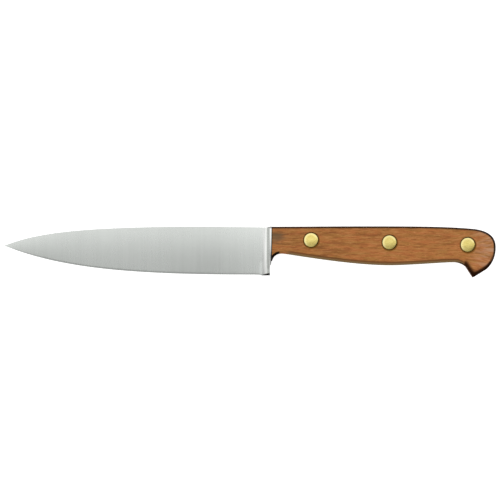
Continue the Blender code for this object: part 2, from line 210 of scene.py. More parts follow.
def addFloor():
    bpy.ops.object.select_all(action="DESELECT")
    bpy.ops.mesh.primitive_plane_add(size=table["size"], location=(0, 0, -table["drop"]))
    floor = bpy.context.object
    floor.name = "floor"
    material, tree, shader = newMaterial("pale table")
    feed(tree, shader.inputs["Base Color"], table["color"])
    feed(tree, shader.inputs["Roughness"], table["roughness"])
    feed(tree, shader.inputs["Specular IOR Level"], 0.0)
    feed(tree, shader.inputs["Emission Color"], (1, 1, 1))
    feed(tree, shader.inputs["Emission Strength"], table["glow"])
    floor.data.materials.append(material)
    floor.visible_diffuse = False
    floor.visible_glossy = False


addCamera()
addStudioLight()
addFloor()
bpy.context.scene.view_settings.view_transform = "Standard"
print("camera, floor and light done")


# shapes shared by the pieces

# a knot is x, y, heading in degrees, and the curve's reach before and after it as a share of the
# way to its neighbour; a reach of 0 is a corner
handle = {
    "length": 0.1096,
    "steps": 24,  # parts of each curved stretch
    "start": (0, 0, 0, 0.33),  # the top line's first knot, whose x is its piece's own
    "top": [(0.045, 0.0002, 0, 0.33, 0.44)],
    # these knots have their x from the butt
    "butt": [
        (-0.0116, -0.0010, -5, 0.26, 0.78),
        (0, -0.0106, -90, 0.17, 0.45),
        (-0.0050, -0.0211, -148, 0.2, 0),
        (-0.01115, -0.02488, 180, 0, 0),
        (-0.01445, -0.0198, 126, 0, 0.2),
        (-0.0207, -0.0174, 180, 0.45, 0.16),
    ],
    "belly": [
        (0.058, -0.0189, 180, 0.28, 0.39),
        (0.005, -0.0132, 180, 0.05, 0.58),
        (scaleFront, scaleFoot, -104, 0.25, 0),
    ],
}


def cornerKnots(points):
    return [(x, y, 0, 0, 0) for x, y in points]


def handleKnots(front, start):
    # the front's corners, the start of the top line, and on round the butt to the scales' foot
    butt = [(handle["length"] + x, *rest) for x, *rest in handle["butt"]]
    return cornerKnots(front) + [(start, *handle["start"])] + handle["top"] + butt + handle["belly"]


def knotHandles(knots, closed):
    placed = []
    for index, (x, y, heading, before, after) in enumerate(knots):
        place = Vector((x, y, 0))
        way = Vector((math.cos(math.radians(heading)), math.sin(math.radians(heading)), 0))
        last = knots[index - 1] if closed or index else knots[index]
        following = knots[(index + 1) % len(knots)]
        back = (place - Vector((*last[:2], 0))).length * before
        ahead = (place - Vector((*following[:2], 0))).length * after
        placed.append((place, place - way * back, place + way * ahead))
    return placed


def outlinePoints(knots, steps, closed):
    placed = knotHandles(knots, closed)
    following = placed[1:] + placed[:1] if closed else placed[1:]
    points = []
    for (start, _, leave), (end, arrive, _) in zip(placed, following):
        straight = max((leave - start).length, (end - arrive).length) < weldDistance
        stretch = interpolate_bezier(start, leave, arrive, end, 2 if straight else steps + 1)
        points += [tuple(point.xy) for point in stretch[:-1]]
    if not closed:
        points.append(tuple(placed[-1][0].xy))
    return points


def rowAlong(chain, x):
    # how high a line of points is at x
    for (x0, y0), (x1, y1) in zip(chain, chain[1:]):
        if x <= x1:
            return y0 + (y1 - y0) * (x - x0) / (x1 - x0)
    return chain[-1][1]


def selectAlone(piece):
    bpy.ops.object.select_all(action="DESELECT")
    piece.select_set(True)
    bpy.context.view_layer.objects.active = piece


def startPiece(name, data):
    piece = bpy.data.objects.new(name, data)
    bpy.context.scene.collection.objects.link(piece)
    selectAlone(piece)
    return piece


def applyModifiers(piece):
    selectAlone(piece)
    for modifier in list(piece.modifiers):
        bpy.ops.object.modifier_apply(modifier=modifier.name)


def settle(piece, offset=jointCorner):
    # puts the piece's place into its mesh and leaves the object at the origin
    selectAlone(piece)
    piece.location = offset
    bpy.ops.object.transform_apply(location=True, rotation=True, scale=True)


def finishPiece(piece, shadeAngle, slot, material, *nodes):
    selectAlone(piece)
    bpy.ops.object.shade_smooth_by_angle(angle=math.radians(shadeAngle))
    piece.data.materials.clear()
    piece.data.materials.append(material)
    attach(piece, "root")
    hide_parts(*nodes)


def drawOutline(name, knots, depth):
    # a closed outline drawn as a curve, filled and given its thickness in edit mode
    points = outlinePoints(knots, handle["steps"], closed=True)
    curve = bpy.data.curves.new(name, "CURVE")
    curve.dimensions = "2D"
    curve.fill_mode = "NONE"
    spline = curve.splines.new("POLY")
    spline.points.add(len(points) - 1)
    for point, (x, y) in zip(spline.points, points):
        point.co = (x, y, 0, 1)
    spline.use_cyclic_u = True
    startPiece(name, curve)
    bpy.ops.object.convert(target="MESH")
    bpy.ops.object.mode_set(mode="EDIT")
    bpy.ops.mesh.select_all(action="SELECT")
    bpy.ops.mesh.remove_doubles(threshold=weldDistance)
    bpy.ops.mesh.edge_face_add()
    bpy.ops.mesh.extrude_region_move(TRANSFORM_OT_translate={"value": (0, 0, depth)})
    bpy.ops.mesh.select_all(action="SELECT")
    bpy.ops.mesh.normals_make_consistent(inside=False)
    bpy.ops.object.mode_set(mode="OBJECT")
    return bpy.context.object


def selectEdges(piece, wanted):
    # selects the edges for which wanted(first corner, second corner) holds, in edit mode
    bpy.ops.object.mode_set(mode="EDIT")
    bpy.ops.mesh.select_mode(type="EDGE")
    bpy.ops.mesh.select_all(action="DESELECT")
    shape = bmesh.from_edit_mesh(piece.data)
    for edge in shape.edges:
        edge.select = wanted(edge.verts[0].co, edge.verts[1].co)
    shape.select_flush_mode()
    bmesh.update_edit_mesh(piece.data)


def cutWith(piece, cutter, operation):
    modifier = piece.modifiers.new(operation.lower(), "BOOLEAN")
    modifier.operation = operation
    modifier.object = cutter
    modifier.solver = "EXACT"
    applyModifiers(piece)


# materials

# most of a noise's values lie between these
noiseSpan = (0.3, 0.7)


def grainNoise(tree, coordinates, scale, detail=3.0, roughness=0.55, offset=(0, 0, 0)):
    # the scale is in waves to the metre
    stretched = addNode(tree, "ShaderNodeMapping", Vector=coordinates, Scale=scale, Location=offset)
    values = {"Scale": 1.0, "Detail": detail, "Roughness": roughness}
    return addNode(tree, "ShaderNodeTexNoise", Vector=stretched.outputs[0], **values).outputs[0]


def placeFromJoint(tree):
    # the place in the model, the same place from the joint corner, and the latter's three parts
    place = tree.nodes.new("ShaderNodeTexCoord").outputs["Object"]
    local = vectorMaths(tree, "SUBTRACT", place, tuple(jointCorner)).outputs[0]
    return place, local, *addNode(tree, "ShaderNodeSeparateXYZ", i0=local).outputs


def addRelief(tree, shader, height, strength, depth):
    bump = addNode(tree, "ShaderNodeBump", Height=height, Strength=strength, Distance=depth)
    feed(tree, shader.inputs["Normal"], bump.outputs[0])


# in the materials' dictionaries too, a pair with no other note is where a change starts and where it
# is complete, and two more numbers are its values there; places are metres from the joint corner
steel = {
    "blade": (0.63, 0.655, 0.63),
    "bolster": (0.70, 0.71, 0.69),
    "bladeRoughness": 0.26,
    "bolsterRoughness": 0.14,
    "smudgeRoughness": (-0.02, 0.03),  # the least and the most that smudges add
    "lineRoughness": (-0.01, 0.01),  # and that the grinding lines add
    "polish": (-0.0056, -0.0036),  # where on the flare the satin gives way to polish
    "fineLines": (1500, 28, 200),  # the grinding lines' waves to the metre
    "broadLines": (420, 14, 60),
    "broadOffset": (7, 3, 0),
    "smudges": (45, 70, 70),
    "fineShare": 0.55,  # the broad lines have the rest
    "lineTone": (0.25, 0.75, 0.972, 1.023),
    "relief": 0.012,
    "reliefDepth": 0.0002,
    # painted light: the blade is painted brighter towards the spine, the bolster and the tip
    "grindRows": (-0.01684, 0.00116, 0.90, 1.05),
    "nearBolster": (-0.03275, -0.00675),
    "nearBolsterRows": (-0.01834, -0.00434, 1.21, 1.14),
    "nearTip": (-0.11875, -0.09575, 1.08, 1.0),
    # painted light and shade down the bolster, its land and the steep part in front of the land, and the
    # tang's tone
    "bolsterRows": (-0.02434, -0.00834, 0.84, 1.04),
    "land": (-0.0015, -0.0010),
    "landRows": (-0.01234, -0.00334, 0.75, 1.05),
    "landFootRows": (-0.01384, -0.01584, 1.0, 1.60),
    "steepStart": (-0.0025, -0.0020),
    "steepEnd": (-0.0009, -0.0012),
    "steepRows": (-0.01994, -0.02134, 0.62, 0.84),
    "tang": (0.0004, 0.0006),
    "tangTone": 0.90,
    # a painted highlight on the flare's lower end, beside the heel's band
    "shoulderStart": (-0.0068, -0.0052),
    "shoulderEnd": (-0.0034, -0.0042),
    "shoulderRows": (-0.01534, -0.01884),
    "shoulderTone": 1.16,
    # painted shade on the heel's underside, which grows higher towards the back
    "underside": (-0.0062, -0.0019, 0.0, 0.00104),
    "undersideBlur": (0.00008, -0.00008),
    "undersideEnd": (0.0010, 0.0005),
    # grime along the joint with the wood
    "jointStart": (-0.00017, -0.00009),
    "jointEnd": (0.0006, 0.0004),
    "jointFoot": (scaleFoot - 0.0004, scaleFoot),
    # the tone of the painted shade under the heel and of the grime along the joint
    "shadeAndGrimeTone": 0.045,
}


def satinLinesAndPaintedLight(tree, x, y, lines):
    tone = smooth(tree, lines, *steel["lineTone"])
    # painted light: the grinding lines' tone is painted brighter towards the spine, near the bolster and
    # near the tip
    tone = times(tree, tone, smooth(tree, y, *steel["grindRows"]))
    nearBolster = smooth(tree, y, *steel["nearBolsterRows"])
    tone = times(tree, tone, blend(tree, smooth(tree, x, *steel["nearBolster"]), 1.0, nearBolster))
    return times(tree, tone, smooth(tree, x, *steel["nearTip"]))


def bolsterPaintedLight(tree, x, y):
    # painted light and shade: the bolster, its land and the steep part are painted lighter or darker
    # with height
    tone = smooth(tree, y, *steel["bolsterRows"])
    land = times(tree, smooth(tree, y, *steel["landRows"]), smooth(tree, y, *steel["landFootRows"]))
    tone = times(tree, tone, blend(tree, smooth(tree, x, *steel["land"]), 1.0, land))
    onSteep = between(tree, x, steel["steepStart"], steel["steepEnd"])
    tone = times(tree, tone, blend(tree, onSteep, 1.0, smooth(tree, y, *steel["steepRows"])))
    return blend(tree, smooth(tree, x, *steel["tang"]), tone, steel["tangTone"])


def heelShadeAndJointGrime(tree, x, y):
    # painted shade on the heel's underside, and grime along the joint with the wood
    aboveUnderside = minus(tree, minus(tree, y, heelRow), smooth(tree, x, *steel["underside"]))
    underside = smooth(tree, aboveUnderside, *steel["undersideBlur"])
    underside = times(tree, underside, smooth(tree, x, *steel["undersideEnd"]))
    fromBack = minus(tree, x, times(tree, y, backLean))
    joint = between(tree, fromBack, steel["jointStart"], steel["jointEnd"])
    joint = times(tree, joint, smooth(tree, y, *steel["jointFoot"]))
    return maths(tree, "MAXIMUM", underside, joint)


def makeSteel():
    material, tree, shader = newMaterial("satin steel")
    place, _, x, y, _ = placeFromJoint(tree)
    fine = grainNoise(tree, place, steel["fineLines"], 2)
    broad = grainNoise(tree, place, steel["broadLines"], 3, offset=steel["broadOffset"])
    smudge = grainNoise(tree, place, steel["smudges"], 3)
    fineShare = steel["fineShare"]
    lines = plus(tree, times(tree, fine, fineShare), times(tree, broad, 1 - fineShare))
    polish = smooth(tree, x, *steel["polish"])
    satin = minus(tree, 1.0, polish)
    tone = blend(tree, satin, bolsterPaintedLight(tree, x, y), satinLinesAndPaintedLight(tree, x, y, lines))
    # painted highlight on the flare's lower end
    shoulder = between(tree, x, steel["shoulderStart"], steel["shoulderEnd"])
    shoulder = times(tree, shoulder, smooth(tree, y, *steel["shoulderRows"]))
    tone = times(tree, tone, smooth(tree, shoulder, 0.0, 1.0, 1.0, steel["shoulderTone"]))
    # painted shade under the heel and grime along the joint
    shadeAndGrime = heelShadeAndJointGrime(tree, x, y)
    tone = times(tree, tone, smooth(tree, shadeAndGrime, 0.0, 1.0, 1.0, steel["shadeAndGrimeTone"]))
    color = mixColors(tree, polish, steel["blade"], steel["bolster"])
    feed(tree, shader.inputs["Base Color"], mixColors(tree, 1.0, color, tone, "MULTIPLY"))
    rough = smooth(tree, polish, 0.0, 1.0, steel["bladeRoughness"], steel["bolsterRoughness"])
    rough = plus(tree, rough, smooth(tree, smudge, *noiseSpan, *steel["smudgeRoughness"]))
    rough = plus(tree, rough, smooth(tree, fine, *noiseSpan, *steel["lineRoughness"]))
    feed(tree, shader.inputs["Roughness"], rough)
    feed(tree, shader.inputs["Metallic"], 1.0)
    addRelief(tree, shader, times(tree, lines, satin), steel["relief"], steel["reliefDepth"])
    return material


wood = {
    "brown": (0.395, 0.155, 0.043),
    "red": (0.500, 0.128, 0.043),
    "olive": (0.335, 0.172, 0.034),
    "dark": (0.150, 0.052, 0.013),
    "pale": (0.580, 0.280, 0.100),
    "stain": (0.150, 0.100, 0.050),
    "shadeAndSoot": (0.010, 0.006, 0.004),
    "grayed": (0.540, 0.320, 0.200),
    "sheenStrip": (0.240, 0.155, 0.064),
    "shadeLine": (0.168, 0.068, 0.019),
    "ring": (0.200, 0.080, 0.003),
    "shadow": (0.020, 0.0065, 0.0025),
    "roughness": (0.56, 0.45),  # in the dark streaks and in the pale ones
    "specular": 0.12,
    "relief": 0.12,
    "reliefDepth": 0.0001,
    # the grain wanders a little, and fans out across the butt
    "wander": (55, 130, 100),
    "wanderWidth": 0.0012,
    "fan": (0.088, 0.112),
    "fanMiddle": -0.012,  # the row that stays straight
    "fanShare": 0.45,
    # waves to the metre, detail, roughness and offset of each noise
    "noises": {
        "bands": ((45, 420, 260), 4, 0.6, (0, 0, 0)),
        "streaks": ((95, 900, 600), 4, 0.65, (3, 5, 0)),
        "fibres": ((270, 2100, 1500), 3, 0.65, (2, 9, 4)),
        "hue": ((110, 700, 300), 4, 0.65, (11, 2, 5)),
        "flecks": ((900, 2600, 2000), 2, 0.5, (1, 8, 3)),
    },
    "hueSpan": (0.34, 0.66),
    "brownShare": 0.65,
    "bandSpan": (0.54, 0.34),
    "bandShare": (0.022, 0.050, 0.62, 0.26),  # the dark bands are stronger in front
    # a noise, where a colour starts in it and is complete, the colour's share, and the colour
    "layers": [
        ("streaks", 0.52, 0.74, 0.28, "pale"),
        ("streaks", 0.48, 0.30, 0.28, "dark"),
        ("fibres", 0.50, 0.68, 0.42, "pale"),
        ("fibres", 0.50, 0.32, 0.50, "dark"),
        ("flecks", 0.38, 0.26, 0.50, "dark"),
        ("flecks", 0.60, 0.74, 0.55, "pale"),
    ],
    # a stain behind the bolster, and grayer end grain at the butt
    "stainPlace": (0.0020, -0.0052, 0),
    "stainScale": (160, 260, 60),
    "stainWander": 1.6,
    "stainEdge": (1.15, 0.35, 0.0, 0.85),
    "endGrain": (0.094, 0.112),
    "endStreaks": (0.42, 0.58, 0.15, 1.0),
    "endShare": 0.76,
    # depths below the outer face: where the walls end, and how dark the roundings and their rims are
    # painted, as shade
    "walls": (0.0016, 0.0009),
    "wallTone": 0.72,
    "roundingStart": (0.000003, 0.00002),
    "topTone": 0.84,
    "topRim": (0.0, 0.00036),
    "topRimTone": (0.015, 0.030, 0.13, 0.065),  # along the handle
    "buttRim": (0.00002, 0.00017, 1.0, 0.05),
    "beakTone": 0.45,
    "beakRim": (0.0001, 0.0005, 1.0, 0.2),
    # where the lower rounding, the butt's and the beak's take over from the top's
    "lowerRows": (-0.0060, -0.0100),
    "butt": (0.1000, 0.1060),
    "buttLowRows": (-0.0120, -0.0165),
    "beak": (0.0936, 0.0948),
    "beakRows": (-0.0145, -0.0170),
    "seamTone": (0.0002, 0.0006, 0.7, 1.0),  # behind the bolster
    "lengthTone": (0.0, 0.10, 1.12, 1.17),
    "frontTone": (0.004, 0.020, 0.93, 1.0),
    # the lower rounding has a painted olive reflection, with a brown painted shade line along its inner
    # side: heights above the outline
    "bellyStart": (0.006, 0.010),
    "shadeLineEdge": (0.00205, 0.00165, 0.0, 0.88),
    "sheenStripEdge": (0.00115, 0.00085, 0.0, 0.92),
    "bellySpan": (0.006, 0.0968),
    "bellyTop": -0.0125,
    "bellySteps": 12,
    # the outline is held by a curve in a box of 1 by 1
    "curveScales": (10, 70),  # along and up
    "curveFoot": -0.026,  # the row at the foot of the box
    "curveEnds": ((0, 0.95), (1, 0.05)),
    # a painted shade line along the side, from the throat to the beak
    "line": (0.0895, 0.0925),
    "lineRows": (-0.0130, -0.0150),
    "lineDepth": (0.00020, 0.00048, 0.0, 0.9),
    # a place on a side of the beak, the way inwards, and where the side's painted shade fades and ends
    "darkSides": [
        (0.0942, -0.0186, 0.828, 0.560, 0.0013, 0.0031),
        (0.0985, -0.0249, -0.5235, 0.852, 0.0013, 0.0025),
        (0.1046, -0.0211, -0.802, 0.597, 0.0004, 0.0016),
        (0.0985, -0.0249, 0.0, 1.0, 0.0020, 0.0043),
    ],
    "darkRows": (-0.0158, -0.0176),
    "darkShare": 0.88,
    # dark seam rings round the rivets, shifted down and to the right as painted shadow on that side: how
    # far they are off the rivets' middles, and their edge
    "ringShadowShift": (0.00012, -0.00022),
    "ringEdge": (0.0039, 0.0044, 0.85, 0.0),
    # painted shade in the neck, and soot along the joint with the bolster
    "neck": (0.0044, 0.0032),
    "neckRows": (-0.0100, -0.0112),
    "neckDepth": (0.0, 0.00005),
    "jointLine": (0.00030, 0.00022),
}


def bellyRow(tree, x):
    # the height of the handle's lower outline at each place along it, down to the beak
    start, end = wood["bellySpan"]
    alongScale, upScale = wood["curveScales"]
    outline = outlinePoints(handleKnots([], 0), wood["bellySteps"], closed=True)
    curve = addNode(tree, "ShaderNodeFloatCurve", i1=times(tree, x, alongScale))
    line = curve.mapping.curves[0]
    line.points[0].location, line.points[1].location = wood["curveEnds"]
    for along, row in outline:
        if start < along < end and row < wood["bellyTop"]:
            line.points.new(along * alongScale, (row - wood["curveFoot"]) * upScale)
    curve.mapping.update()
    return plus(tree, maths(tree, "DIVIDE", curve.outputs[0], upScale), wood["curveFoot"])


def grainColor(tree, place, local, x, y):
    wander = minus(tree, grainNoise(tree, place, wood["wander"], 2), 0.5)
    fan = times(tree, smooth(tree, x, *wood["fan"]), minus(tree, y, wood["fanMiddle"]))
    bend = minus(tree, times(tree, wander, wood["wanderWidth"]), times(tree, fan, wood["fanShare"]))
    shift = addNode(tree, "ShaderNodeCombineXYZ", i1=bend).outputs[0]
    grain = vectorMaths(tree, "ADD", place, shift).outputs[0]
    noise = {name: grainNoise(tree, grain, *values) for name, values in wood["noises"].items()}
    color = mixColors(tree, smooth(tree, noise["hue"], *wood["hueSpan"]), wood["olive"], wood["red"])
    color = mixColors(tree, wood["brownShare"], color, wood["brown"])
    banding = smooth(tree, noise["bands"], *wood["bandSpan"])
    banding = times(tree, banding, smooth(tree, x, *wood["bandShare"]))
    color = mixColors(tree, banding, color, wood["dark"])
    for name, low, high, share, tint in wood["layers"]:
        color = mixColors(tree, smooth(tree, noise[name], low, high, 0.0, share), color, wood[tint])
    away = vectorMaths(tree, "SUBTRACT", local, wood["stainPlace"]).outputs[0]
    away = vectorMaths(tree, "MULTIPLY", away, wood["stainScale"]).outputs[0]
    away = vectorMaths(tree, "LENGTH", away).outputs["Value"]
    away = plus(tree, away, times(tree, minus(tree, noise["streaks"], 0.5), wood["stainWander"]))
    color = mixColors(tree, smooth(tree, away, *wood["stainEdge"]), color, wood["stain"])
    end = times(tree, smooth(tree, x, *wood["endGrain"]), wood["endShare"])
    end = times(tree, end, smooth(tree, noise["streaks"], *wood["endStreaks"]))
    return mixColors(tree, end, color, wood["grayed"]), noise


def paintedShadeTone(tree, x, y, deep, onFace, lower, behind):
    # painted shade: the roundings are darkened, most of all round the butt and the beak, and the walls
    # hardly; the whole is also darker towards the front
    onRounding = smooth(tree, deep, *wood["roundingStart"])
    rim = blend(tree, smooth(tree, deep, *wood["topRim"]), 1.0, smooth(tree, x, *wood["topRimTone"]))
    top = times(tree, smooth(tree, onRounding, 0.0, 1.0, 1.0, wood["topTone"]), rim)
    beak = smooth(tree, onRounding, 0.0, 1.0, 1.0, wood["beakTone"])
    beak = times(tree, beak, smooth(tree, deep, *wood["beakRim"]))
    butt = smooth(tree, deep, *wood["buttRim"])
    butt = blend(tree, smooth(tree, y, *wood["buttLowRows"]), butt, beak)
    tone = blend(tree, lower, top, 1.0)
    tone = blend(tree, smooth(tree, x, *wood["butt"]), tone, butt)
    tone = blend(tree, times(tree, behind, smooth(tree, y, *wood["beakRows"])), tone, beak)
    tone = blend(tree, onFace, wood["wallTone"], tone)
    return times(tree, tone, smooth(tree, x, *wood["lengthTone"]), smooth(tree, x, *wood["frontTone"]))


def addBelly(tree, color, x, y, onFace, lower, behind):
    # painted shade line and painted reflection along the lower rounding
    above = minus(tree, y, bellyRow(tree, x))
    onBelly = times(tree, minus(tree, lower, behind), smooth(tree, x, *wood["bellyStart"]), onFace)
    for tint in ("shadeLine", "sheenStrip"):
        share = times(tree, onBelly, smooth(tree, above, *wood[tint + "Edge"]))
        color = mixColors(tree, share, color, wood[tint])
    return color


def addShadows(tree, color, x, y, deep, onFace, behind):
    # painted shade: the dark line, and the darkness along the beak's sides
    dark = times(tree, smooth(tree, x, *wood["line"]), smooth(tree, y, *wood["lineRows"]))
    dark = times(tree, dark, smooth(tree, deep, *wood["lineDepth"]), onFace)
    color = mixColors(tree, dark, color, wood["shadow"])
    for sideX, sideY, wayX, wayY, low, high in wood["darkSides"]:
        inward = times(tree, minus(tree, x, sideX), wayX)
        inward = plus(tree, inward, times(tree, minus(tree, y, sideY), wayY))
        shade = smooth(tree, inward, low, high, wood["darkShare"], 0.0)
        shade = times(tree, shade, behind, smooth(tree, y, *wood["darkRows"]), onFace)
        color = mixColors(tree, shade, color, wood["shadow"])
        dark = maths(tree, "MAXIMUM", dark, shade)
    return color, dark


def addRings(tree, color, local):
    flat = vectorMaths(tree, "MULTIPLY", local, (1, 1, 0)).outputs[0]
    shiftX, shiftY = wood["ringShadowShift"]
    # a dark seam round each rivet, with painted shadow on its lower right
    for rivetX, rivetY in rivetPlaces:
        middle = (rivetX + shiftX, rivetY + shiftY, 0)
        distance = vectorMaths(tree, "DISTANCE", flat, middle).outputs["Value"]
        color = mixColors(tree, smooth(tree, distance, *wood["ringEdge"]), color, wood["ring"])
    return color


def makeWood():
    material, tree, shader = newMaterial("oiled plum wood")
    place, local, x, y, z = placeFromJoint(tree)
    color, noise = grainColor(tree, place, local, x, y)
    deep = minus(tree, halfWidth, maths(tree, "ABSOLUTE", z))  # below the outer face
    onFace = smooth(tree, deep, *wood["walls"])
    lower = smooth(tree, y, *wood["lowerRows"])
    behind = smooth(tree, x, *wood["beak"])
    fromBolster = minus(tree, x, times(tree, y, backLean))
    tone = paintedShadeTone(tree, x, y, deep, onFace, lower, behind)
    tone = times(tree, tone, smooth(tree, fromBolster, *wood["seamTone"]))
    color = mixColors(tree, 1.0, color, tone, "MULTIPLY")
    color = addBelly(tree, color, x, y, onFace, lower, behind)
    color, dark = addShadows(tree, color, x, y, deep, onFace, behind)
    color = addRings(tree, color, local)
    # painted shade in the neck, and the dark joint line behind the bolster
    shadeAndSoot = times(tree, smooth(tree, x, *wood["neck"]), smooth(tree, y, *wood["neckRows"]))
    shadeAndSoot = times(tree, shadeAndSoot, smooth(tree, deep, *wood["neckDepth"]), onFace)
    shadeAndSoot = maths(tree, "MAXIMUM", shadeAndSoot, smooth(tree, fromBolster, *wood["jointLine"]))
    feed(tree, shader.inputs["Base Color"], mixColors(tree, shadeAndSoot, color, wood["shadeAndSoot"]))
    rough = smooth(tree, noise["streaks"], *noiseSpan, *wood["roughness"])
    feed(tree, shader.inputs["Roughness"], rough)
    # no sheen where shade is painted
    specular = smooth(tree, maths(tree, "MAXIMUM", dark, shadeAndSoot), 0.0, 1.0, wood["specular"], 0.0)
    feed(tree, shader.inputs["Specular IOR Level"], specular)
    height = plus(tree, noise["fibres"], noise["flecks"])
    addRelief(tree, shader, height, wood["relief"], wood["reliefDepth"])
    return material


brass = {
    "color": (0.815, 0.690, 0.244),
    "shade": (0.67, 0.540, 0.157),
    "rim": (0.93, 0.80, 0.35),
    "olive": (0.70, 0.53, 0.150),
    "edge": (0.20, 0.098, 0.004),
    "cloud": (520, 520, 520),
    "cloudSpan": (0.10, 0.90),
    "scratches": (500, 9000, 500),
    "roughness": (0.19, 0.30),  # between the scratches and in them
    "relief": 0.05,
    "reliefDepth": 0.0001,
    # from the head's middle, outwards or along the way down to the right
    "downRight": (0.6, 0.8),  # that way's two parts
    # painted highlight on the rim, painted shade low on the right and at the edge, and painted light
    # towards the top
    "rimStart": (0.0019, 0.0031),  # outwards
    "rimEnd": (0.0016, 0.0),  # down to the right
    "lowRightShade": (0.0004, 0.0034, 0.0, 0.40),  # down to the right
    "edgeStart": (0.00332, 0.00350),  # outwards
    "upTone": (-0.0034, 0.0034, 1.14, 0.88),  # up
    "lengthTone": (0.03, 0.05, 1.0, 0.93),  # along the handle
}


def placeOnHead(tree, x, y):
    # the place from the middle of the nearest head, in its two parts
    (firstX, firstY), (nextX, nextY), _ = rivetPlaces
    count = maths(tree, "DIVIDE", minus(tree, x, firstX), nextX - firstX)
    count = maths(tree, "ROUND", count)
    onX = minus(tree, minus(tree, x, firstX), times(tree, count, nextX - firstX))
    onY = minus(tree, minus(tree, y, firstY), times(tree, count, nextY - firstY))
    return onX, onY


def makeBrass():
    # each head has a painted highlight along its rim, painted shade low on the right and along its edge,
    # and is painted lighter at the top
    material, tree, shader = newMaterial("polished brass")
    place, _, x, y, _ = placeFromJoint(tree)
    cloud = grainNoise(tree, place, brass["cloud"], 2)
    scratches = grainNoise(tree, place, brass["scratches"], 3)
    color = mixColors(tree, smooth(tree, cloud, *brass["cloudSpan"]), brass["shade"], brass["color"])
    onX, onY = placeOnHead(tree, x, y)
    distance = maths(tree, "SQRT", plus(tree, times(tree, onX, onX), times(tree, onY, onY)))
    rightShare, downShare = brass["downRight"]
    downRight = minus(tree, times(tree, onX, rightShare), times(tree, onY, downShare))
    # painted highlight along the rim, fading towards the lower right
    rim = smooth(tree, distance, *brass["rimStart"])
    rim = times(tree, rim, smooth(tree, downRight, *brass["rimEnd"]))
    color = mixColors(tree, rim, color, brass["rim"])
    # painted shade low on the right, painted light at the top, and painted shade at the edge
    color = mixColors(tree, smooth(tree, downRight, *brass["lowRightShade"]), color, brass["olive"])
    color = mixColors(tree, 1.0, color, smooth(tree, onY, *brass["upTone"]), "MULTIPLY")
    color = mixColors(tree, 1.0, color, smooth(tree, x, *brass["lengthTone"]), "MULTIPLY")
    color = mixColors(tree, smooth(tree, distance, *brass["edgeStart"]), color, brass["edge"])
    feed(tree, shader.inputs["Base Color"], color)
    feed(tree, shader.inputs["Metallic"], 1.0)
    feed(tree, shader.inputs["Roughness"], smooth(tree, scratches, *noiseSpan, *brass["roughness"]))
    addRelief(tree, shader, plus(tree, cloud, scratches), brass["relief"], brass["reliefDepth"])
    return material


steelMaterial = makeSteel()
woodMaterial = makeWood()
brassMaterial = makeBrass()
print("materials done")


# rivet seats, which the tang and the scales both have

rivet = {
    "headRadius": 0.0035,
    "headThickness": 0.0013,
    "dome": 0.00025,
    "domeShares": (0, 0.15, 0.3, 0.45, 0.6, 0.72, 0.82, 0.89),  # of the radius
    # share of the radius, and drop below the dome's top
    "rimSteps": [(0.94, 0.000235), (0.975, 0.000275), (0.995, 0.00034), (1, 0.00043)],
    "seatGap": 0.00028,
    "seatReach": 0.008,  # the seats' cutter stands out of both faces
    "pinRadius": 0.0013,
    "wall": 0.0009,
    "tubeTip": 0.0013,
    "gap": 0.0003,
    "turns": 64,
    "shadeAngle": 30,
}


def spinProfile(name, profile):
    # a profile of (radius, height) points spun round the Z axis
    piece = startPiece(name, bpy.data.meshes.new(name))
    edges = [(step, step + 1) for step in range(len(profile) - 1)]
    piece.data.from_pydata([(radius, 0, height) for radius, height in profile], edges, [])
    bpy.ops.object.mode_set(mode="EDIT")
    bpy.ops.mesh.select_all(action="SELECT")
    bpy.ops.mesh.spin(steps=rivet["turns"], angle=math.tau, center=(0, 0, 0), axis=(0, 0, 1))
    bpy.ops.mesh.select_all(action="SELECT")
    bpy.ops.mesh.remove_doubles(threshold=weldDistance)
    bpy.ops.mesh.normals_make_consistent(inside=False)
    bpy.ops.object.mode_set(mode="OBJECT")
    return piece


def buildSeat(x, y):
    seat = rivet["headRadius"] + rivet["seatGap"]
    seatFloor = halfWidth - rivet["headThickness"] - rivet["gap"]
    hole = rivet["pinRadius"] + rivet["wall"] + 2 * rivet["gap"]
    upper = [(0, rivet["seatReach"]), (seat, rivet["seatReach"]), (seat, seatFloor), (hole, seatFloor)]
    piece = spinProfile("seat", upper + [(radius, -height) for radius, height in reversed(upper)])
    settle(piece, (x, y, 0))
    return piece


seats = [buildSeat(x, y) for x, y in rivetPlaces]
print("rivet seats done")


# blade, bolster and tang

